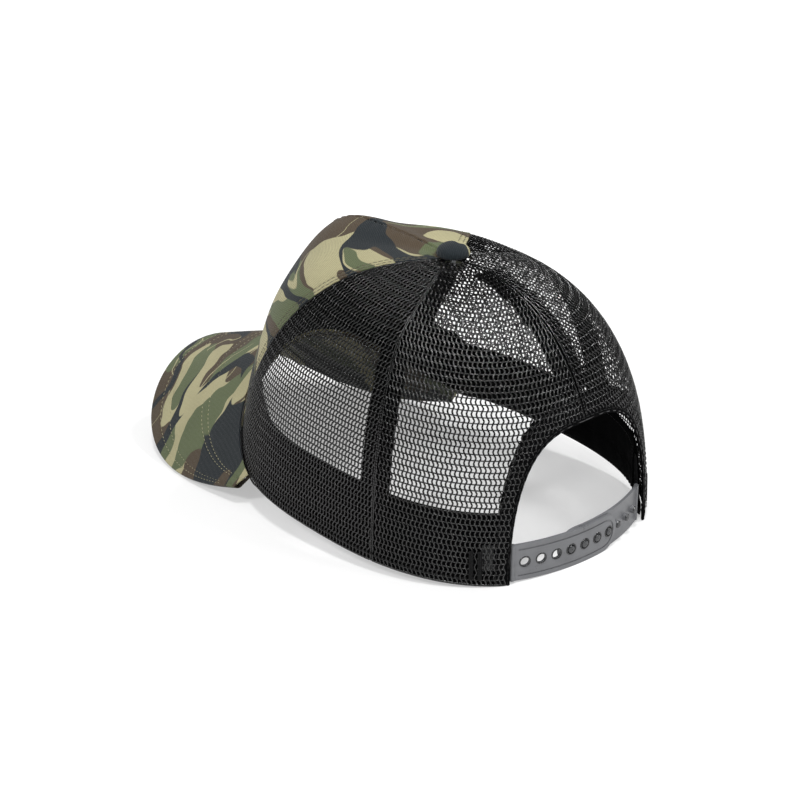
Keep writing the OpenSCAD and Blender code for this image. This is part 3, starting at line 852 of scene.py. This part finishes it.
ARCH_LENGTH, LOW_W = 150.0, 0.0005
b_rad = np.radians(np.linspace(0, 180, 181))[:, None]
loop = np.linspace(0, 2 * np.pi, 28, endpoint=False)
sec_grow = BINDING_W / 2 * (1 + spow(np.cos(loop), 0.75))
rolled = 1 - ease(1.2, 2.6, sec_grow)
sec_out = -1.05 + spow(np.sin(loop), 0.7) * np.where(np.sin(loop) > 0, 0.55 + 0.85 * rolled, 0.4)
along = b_rad / np.pi * ARCH_LENGTH
rib = 0.14 * np.sin(along * 2 * np.pi / 4.6)
grow = 0.1 + sec_grow * (1 - 0.02 * np.sin(along * 0.9))
th_b, w_b = arch_curve(grow)
pts = crown(th_b, w_b) + crown_normal(th_b, w_b) * (sec_out * (1 + rib))[..., None]
n_b, m_b = pts.shape[:2]
ends = np.array([np.arange(m_b), np.arange(m_b)[::-1] + (n_b - 1) * m_b])
strip = np.stack(np.broadcast_arrays(along, loop * BINDING_W / 3), -1)
make(
    "arch_binding_cloth", pts, [grid_faces(n_b, m_b, wrap=True, flip=True), ends],
    binding_cloth, "black_tape", replaced=["arch_binding"], cloth=strip,
)
bind_rows = Yarn()
for grow in (1.6, BINDING_W - 1.3):
    th, w = (v[:, 0] for v in arch_curve(grow))
    n = crown_normal(th, w)
    stitches(bind_rows, crown(th, w) + n * 0.05, n, 2.7, 0.6, 0.42)
    stitches(bind_rows, crown(th, w) - n * 1.45, -n, 2.7, 0.6, 0.42)
bind_rows.object("binding_stitches", dark_thread, "black_thread")

# -------------------------------------------------------------- sweatband
BAND_SIDES = 40
th_s = np.linspace(-BAND_END, BAND_END, 361)
loop = np.linspace(0, 2 * np.pi, BAND_SIDES, endpoint=False)


def band_loop(thick, mid_d, low, high, gather):
    """Closed section of the band at each angle: height and depth round a flat loop."""
    h = (low + high) / 2 + (high - low) / 2 * spow(np.sin(loop), 0.85)
    tuck = 1.9 * np.clip(1 - (h - low) / 8, 0, 1) ** 2
    d = mid_d - tuck + thick / 2 * spow(np.cos(loop), 0.75)
    th = th_s[:, None]
    folds = gather * np.sin(th * 0.62) * np.sin(th * 0.171 + 1)
    inner = np.clip(np.cos(loop), 0, 1) * np.sin(np.pi * (h - low) / (high - low))
    return crown(th, w_at(th, h), d + inner * folds)


def sleeve(name, outer, inner, mat, slot, **kw):
    """Hollow band between two loops, closed at its ends."""
    n, m = outer.shape[:2]
    k = n * m
    faces = [grid_faces(n, m, wrap=True), grid_faces(n, m, k, wrap=True, flip=True)]
    a = np.arange(m)
    b = np.roll(a, -1)
    faces.append(np.stack([a, b, b + k, a + k], -1))
    e = (n - 1) * m
    faces.append(np.stack([a + e, a + e + k, b + e + k, b + e], -1))
    cloth = arc_coords(outer)
    make(
        name, np.concatenate([outer.reshape(-1, 3), inner.reshape(-1, 3)]), faces, mat, slot,
        cloth=np.concatenate([cloth.reshape(-1, 2)] * 2), **kw,
    )


BAND_TOP = BAND_LIFT + BAND_H
band_cover = band_loop(2.7, 4.25, BAND_LOW, BAND_TOP, 0.35)
band_inside = band_loop(1.9, 4.2, BAND_LOW + 0.5, BAND_TOP - 0.5, 0.3)
sleeve(
    "sweatband_sleeve", band_cover, band_inside, band_cloth, "black_band",
    replaced=["sweatband_cover"],
)
pad = band_loop(1.6, 4.15, BAND_LOW + 1, BAND_TOP - 1, 0.25)
ring_i = np.arange(BAND_SIDES)
caps = np.array([ring_i[::-1], ring_i + (len(th_s) - 1) * BAND_SIDES])
make(
    "sweatband_foam", pad, [grid_faces(len(th_s), BAND_SIDES, wrap=True), caps],
    pad_foam, "lining_foam", replaced=["sweatband_padding"], cloth=arc_coords(pad),
)
band_rows = Yarn()
for h, d in ((BAND_LOW + 2.6, 4.3), (BAND_TOP - 2.2, 5.45)):
    w = w_at(th_s, h)
    stitches(band_rows, crown(th_s, w, d), -crown_normal(th_s, w), 3.0, 0.7, 0.45)
band_rows.object("sweatband_stitches", dark_thread, "black_thread")

# ------------------------------------------------------------------ visor
VISOR_ROWS = (0.9, 0.8, 0.45, 0.38)  # shares of the way out
SKIN_H, ROW_DIP, VISOR_MM = 1.9, 0.16, 60  # skin height, dip along a row, length out
c_v = np.sin(np.radians(np.linspace(-90, 90, 181))) * 0.985
phi = np.radians(np.linspace(90, 4, 9))


def visor_skin(side, gap, puff):
    """Outer surface of the cloth on one face of the visor, rolled over its edge."""
    s = np.linspace(0, 1, 100)
    h = SKIN_H - sum(ROW_DIP * np.exp(-(((s - row) * VISOR_MM / 0.9) ** 2)) for row in VISOR_ROWS)
    c = c_v[:, None]
    wob = ripples(c * 70, s * VISOR_MM, 21 + side, puff) * np.sin(np.pi * s)
    flat_part = visor(c, s, side * (h + wob), -s, gap)
    roll = visor(c, 1.0, side * SKIN_H * np.sin(phi), np.cos(phi) - 1, gap)
    return np.concatenate([flat_part, roll[:, 1:]], 1)


def visor_cloth(name, side, gap, mat, node):
    """Cloth on one face, with its print laid out on the uncurled visor."""
    top = visor_skin(side, gap, 0.12)
    if side > 0:
        top = top[::-1]
    normal = grid_normals(top)
    slope = 2 * VISOR_DIP * top[..., 0] / VISOR_REF**2
    across = VISOR_REF**2 / (4 * VISOR_DIP) * (slope * np.sqrt(1 + slope**2) + np.arcsinh(slope))
    flat_v = np.stack([across, top[..., 1] * math.hypot(1, VISOR_SLOPE)], -1)
    sheet(name, top, top - normal * 0.66, mat, "camo_cloth", replaced=[node], cloth=flat_v)


visor_cloth("visor_top", 1, 0.3, visor_camo, "visor_top_cloth")
visor_cloth("visor_under", -1, -1.5, under_camo_shaded, "visor_under_cloth")
for side, label, mat in ((1, "", tan_thread), (-1, "_under", front_thread)):
    visor_rows = Yarn()
    for row in VISOR_ROWS:
        c = np.sin(np.radians(np.linspace(-90, 90, 400))) * 0.95
        p = visor(c, row, side * 1.72, -row, 0.3)
        n = unit(visor(c, row, side * 2.72, -row, 0.3) - p)
        stitches(visor_rows, p, n, 2.6, 1.0, 0.3, 0.1)
    name = "visor_stitch_rows" + label
    visor_rows.object(name, mat, "stitch_thread", replaced=["visor_stitching"])

# ------------------------------------------------------------------- hem
hem_yarn = Yarn()
HEM_ROW_H = 3.6
for sgn in (-1, 1):
    th = sgn * np.linspace(58, 180 - ARCH_HALF, 160)
    w = w_at(th, HEM_ROW_H)
    n = crown_normal(th, w)
    stitches(hem_yarn, crown(th, w) + n * 0.12, n, 3.2, 0.8, 0.4)
hem_yarn.object("hem_stitches", dark_thread, "black_thread")
for side, sgn in (("left", 1), ("right", -1)):
    th_f = sgn * np.linspace(40, 180 - ARCH_HALF - 0.5, 220)[:, None]
    w_f = w_at(th_f, np.linspace(0.35, 5.2, 7))
    wave_f = 0.08 * np.sin(th_f * 2.1)
    fold = [crown(th_f, w_f, depth + wave_f) for depth in (0.85, 1.35)]
    if sgn < 0:
        fold = [g[::-1] for g in fold]
    sheet("hem_fold_" + side, fold[0], fold[1], tape_cloth, "black_tape")

# ----------------------------------------------------------------- button
ring_a = np.linspace(0, 2 * np.pi, 96, endpoint=False)
lat = np.radians(np.concatenate([np.linspace(-38, 0, 8), np.linspace(0, 88, 26)[1:]]))
gather = 0.16 * np.cos(ring_a * 18)[:, None] * np.exp(-np.clip(lat, 0, 2) / 0.22)[None]


def button_skin(shrink):
    """Crowned disc whose cloth is gathered round its rim."""
    r = (BUTTON_R - shrink) * np.cos(np.clip(lat, 0, 2)) - 1.6 * np.clip(-lat, 0, 1)
    z = (BUTTON_H - shrink) * np.sin(np.clip(lat, 0, 2)) ** 0.8 - 1.3 * np.clip(-lat, 0, 1)
    rr = r[None] + gather
    base_z = CROWN_H - DIMPLE + BUTTON_LIFT
    a = ring_a[:, None]
    x, y = APEX[0] + rr * np.cos(a), APEX[1] + rr * np.sin(a)
    return np.stack(np.broadcast_arrays(x, y, base_z + z), -1)


out_g, in_g = (button_skin(shrink).transpose(1, 0, 2) for shrink in (0.0, 0.65))
rows_b, cols_b = out_g.shape[:2]
k_b = rows_b * cols_b
ring_i = np.arange(cols_b)
ring_j = np.roll(ring_i, -1)
top_i = (rows_b - 1) * cols_b
flat_b = np.stack([out_g[..., 0], out_g[..., 1] - APEX[1]], -1) * 1.15
make(
    "button_cloth",
    np.concatenate([out_g.reshape(-1, 3), in_g.reshape(-1, 3)]),
    [
        grid_faces(rows_b, cols_b, wrap=True, flip=True),
        grid_faces(rows_b, cols_b, k_b, wrap=True),
        np.stack([ring_i, ring_j, ring_j + k_b, ring_i + k_b], -1),
        (ring_i + top_i)[None],
        (ring_i[::-1] + top_i + k_b)[None],
    ],
    button_camo, "camo_cloth", replaced=["button_cover"],
    cloth=np.concatenate([flat_b.reshape(-1, 2)] * 2),
)


# ------------------------------------------------------------------ straps
def snap_place(psi, r0):
    """Middle of a snap at an angle on the strap, its direction along and outward."""
    a = math.radians(psi)
    t, o = np.array([math.cos(a), -math.sin(a), 0]), np.array([math.sin(a), math.cos(a), 0])
    return np.array([0, STRAP_CY, STRAP_MID_Z]) + o * r0, t, o


def lathe_on_arc(name, psis, r0, profile, body):
    """Small round pieces on a strap, from a profile of (radius, height out) pairs."""
    ang = np.linspace(0, 2 * np.pi, 24, endpoint=False)
    verts, faces, count = [], [], 0
    for psi in psis:
        c, t, o = snap_place(psi, r0)
        rings = [
            c + o * h + r * (np.cos(ang)[:, None] * t + np.sin(ang)[:, None] * [0, 0, 1])
            for r, h in profile
        ]
        verts.append(np.array(rings).reshape(-1, 3))
        n, m = len(profile), len(ang)
        faces.append(grid_faces(n, m, count, wrap=True))
        faces.append((np.arange(m)[::-1] + count)[None])
        faces.append((np.arange(m) + count + (n - 1) * m)[None])
        count += n * m
    make(name, np.concatenate(verts), faces, dome_plastic, "strap_plastic", body=body)


SNUG, DOME_H = 0.02, 0.5  # how far a dome stands proud of its stud, and its height
stud_psis = [FIRST_HOLE + SNAP_PITCH * SNAP_SHIFT - SNAP_PITCH * i for i in range(SNAPS)]
dome_angles = np.radians(np.linspace(0, 84, 9))
dome = [(STUD_R * math.cos(b) + SNUG, DOME_H * math.sin(b)) for b in dome_angles]
dome = [(STUD_R + SNUG, -DOME_H)] + dome
lathe_on_arc("snap_domes", stud_psis, STRAP_R + STRAP_T / 2 + 0.2, dome, "strap_right")


def rims_on_arc(name, psis, r0, radius, fat, body, mat):
    """Raised rings round the holes of a strap."""
    n_ring, n_sec = 32, 10
    ang = np.linspace(0, 2 * np.pi, n_ring, endpoint=False)
    sec = np.linspace(0, 2 * np.pi, n_sec, endpoint=False)
    i, j = np.meshgrid(np.arange(n_ring), np.arange(n_sec), indexing="ij")
    i1, j1 = (i + 1) % n_ring * n_sec, (j + 1) % n_sec
    i = i * n_sec
    quad = np.stack([i + j, i1 + j, i1 + j1, i + j1], -1).reshape(-1, 4)
    away, lift = radius + fat * np.cos(sec), fat * 0.7 * np.sin(sec)
    verts, faces = [], []
    for count, psi in enumerate(psis):
        c, t, o = snap_place(psi, r0)
        out = np.cos(ang)[:, None] * t + np.sin(ang)[:, None] * [0, 0, 1]
        ring = c + out[:, None] * away[None, :, None] + o * lift[None, :, None]
        verts.append(ring.reshape(-1, 3))
        faces.append(quad + count * n_ring * n_sec)
    make(name, np.concatenate(verts), faces, mat, "strap_plastic", body=body)


hole_psis = [FIRST_HOLE + SNAP_PITCH * i for i in range(SNAPS)]
# The rings round the holes take the darker plastic as painted shade at the holes.
rims_on_arc(
    "snap_rims", hole_psis, STRAP_R + STRAP_T / 2, HOLE_R + 0.2, 0.34, "strap_left", shaded_strap_plastic
)
for mat, nodes in (
    (strap_plastic, ("strap_left", "strap_right")),
    # The tabs are the straps' own plastic; the darker copy here is painted shade.
    (shaded_strap_plastic, ("strap_left_tab", "strap_right_tab")),
    (board_plastic, ("visor_board",)),
    (button_steel, ("button_shell", "button_post", "button_washer")),
):
    for node in nodes:
        frame["nodes"][node].data.materials.clear()
        frame["nodes"][node].data.materials.append(mat)

tacks = Yarn()
for sgn in (-1, 1):
    for th0 in (138.3, 141.2):
        for h in np.linspace(3, 17, 26)[:-1]:
            th = sgn * np.array([th0 - 0.75, th0 - 0.3, th0 + 0.3, th0 + 0.75])
            w = w_at(th, h + np.array([0, 0.1, 0.3, 0.4]))
            n = crown_normal(th, w)
            tacks.tube(crown(th, w) + n * [[0.1], [0.4], [0.4], [0.1]], n, 0.5, 0.4)
tacks.object("bar_tack_threads", dark_thread, "black_thread", replaced=["bar_tacks"])

# --------------------------------------------------------- floor and light
FLOOR_HALF_M = 4.0
GLOW_NEAR, GLOW_MORE, GLOW_START, GLOW_SPREAD = 0.42, 0.6, 230.0, 500.0
SKY_SEEN, SKY_SOFT, SKY_SHINE = 1.0, 0.5, 0.05
floor_mesh = bpy.data.meshes.new("floor")
corners = [(x * FLOOR_HALF_M, y * FLOOR_HALF_M, 0) for x, y in ((-1, -1), (1, -1), (1, 1), (-1, 1))]
floor_mesh.from_pydata(corners, [], [(0, 1, 2, 3)])
floor = bpy.data.objects.new("floor", floor_mesh)
bpy.context.scene.collection.objects.link(floor)
ground = Shader("floor_white")
grain = ground.noise(ground.place(), 0.01, 2.0)
shade = ground.math("MULTIPLY_ADD", grain, 0.01, 0.5)
pale = ground.add("CombineColor", Red=shade, Green=shade, Blue=shade).outputs[0]
# the glow grows away from the object, and is dimmer in reflections
far = ground.add("VectorMath", {"operation": "LENGTH"})
ground.put(far.inputs[0], ground.place())
spread = ground.math("SUBTRACT", far.outputs["Value"], GLOW_START)
spread = ground.math("DIVIDE", spread, GLOW_SPREAD, clamp=True)
shiny = ground.add("LightPath").outputs["Is Glossy Ray"]
glow = ground.math("MULTIPLY_ADD", spread, GLOW_MORE, GLOW_NEAR)
glow = ground.math("MULTIPLY", glow, ground.math("MULTIPLY_ADD", shiny, -0.85, 1.0))
floor.data.materials.append(ground.finish(pale, 0.9, spec=0.1, glow=glow))

world = bpy.data.worlds.new("studio")
bpy.context.scene.world = world
world.use_nodes = True
sky = world.node_tree
ray = sky.nodes.new("ShaderNodeLightPath")
seen, glossy = sky.nodes.new("ShaderNodeMath"), sky.nodes.new("ShaderNodeMath")
seen.operation = glossy.operation = "MULTIPLY_ADD"
# brightness: full to the camera, soft to cloth, low in reflections
sky.links.new(ray.outputs["Is Glossy Ray"], glossy.inputs[0])
glossy.inputs[1].default_value = SKY_SHINE - SKY_SOFT
glossy.inputs[2].default_value = SKY_SOFT
sky.links.new(ray.outputs["Is Camera Ray"], seen.inputs[0])
seen.inputs[1].default_value = SKY_SEEN - SKY_SOFT
sky.links.new(glossy.outputs[0], seen.inputs[2])
sky.nodes["Background"].inputs[0].default_value = (1, 1, 1, 1)
sky.links.new(seen.outputs[0], sky.nodes["Background"].inputs[1])


AIM = Vector((0, 0, 0.05))


def softbox(name, place, size_m, watts):
    """Round area light aimed at the cap."""
    light = bpy.data.lights.new(name, "AREA")
    light.shape, light.size, light.energy = "DISK", size_m, watts
    obj = bpy.data.objects.new(name, light)
    obj.location = place
    obj.rotation_euler = (AIM - Vector(place)).to_track_quat("-Z", "Y").to_euler()
    bpy.context.scene.collection.objects.link(obj)


softbox("key", (-0.9, 0.5, 1.5), 0.3, 14)
softbox("fill", (1.3, 0.2, 1.4), 0.28, 13)
softbox("crown_light", (0.4, 0.6, 1.7), 0.26, 16)
softbox("rim_light", (-0.4, 1.5, 1.0), 0.26, 4)
bpy.context.scene.view_settings.view_transform = "Standard"

# ----------------------------------------------------------------- camera
AZ, EL, DIST, TARGET = 138.6, 26.87, 954.2, (22.9, -1.7, 47.2)
FOCAL_PX, IMAGE_PX, SENSOR_MM = 2127.0, 800, 36.0
az, el = math.radians(AZ), math.radians(EL)
back = np.array([math.sin(az) * math.cos(el), -math.cos(az) * math.cos(el), math.sin(el)])
right = unit(np.cross([0, 0, 1.0], back))
up = np.cross(back, right)
eye = np.array(TARGET) + back * DIST
tilt = Matrix.Rotation(-PITCH, 3, "X")
axes = Matrix([tilt @ Vector(v) for v in (right, up, back)]).transposed()
cam = bpy.data.cameras.new("camera")
cam.sensor_width, cam.lens = SENSOR_MM, SENSOR_MM * FOCAL_PX / IMAGE_PX
cam.clip_start, cam.clip_end = 0.01, 20
camera = bpy.data.objects.new("camera", cam)
camera.matrix_world = Matrix.Translation(Vector(to_row(eye))) @ axes.to_4x4()
bpy.context.scene.collection.objects.link(camera)
bpy.context.scene.camera = camera
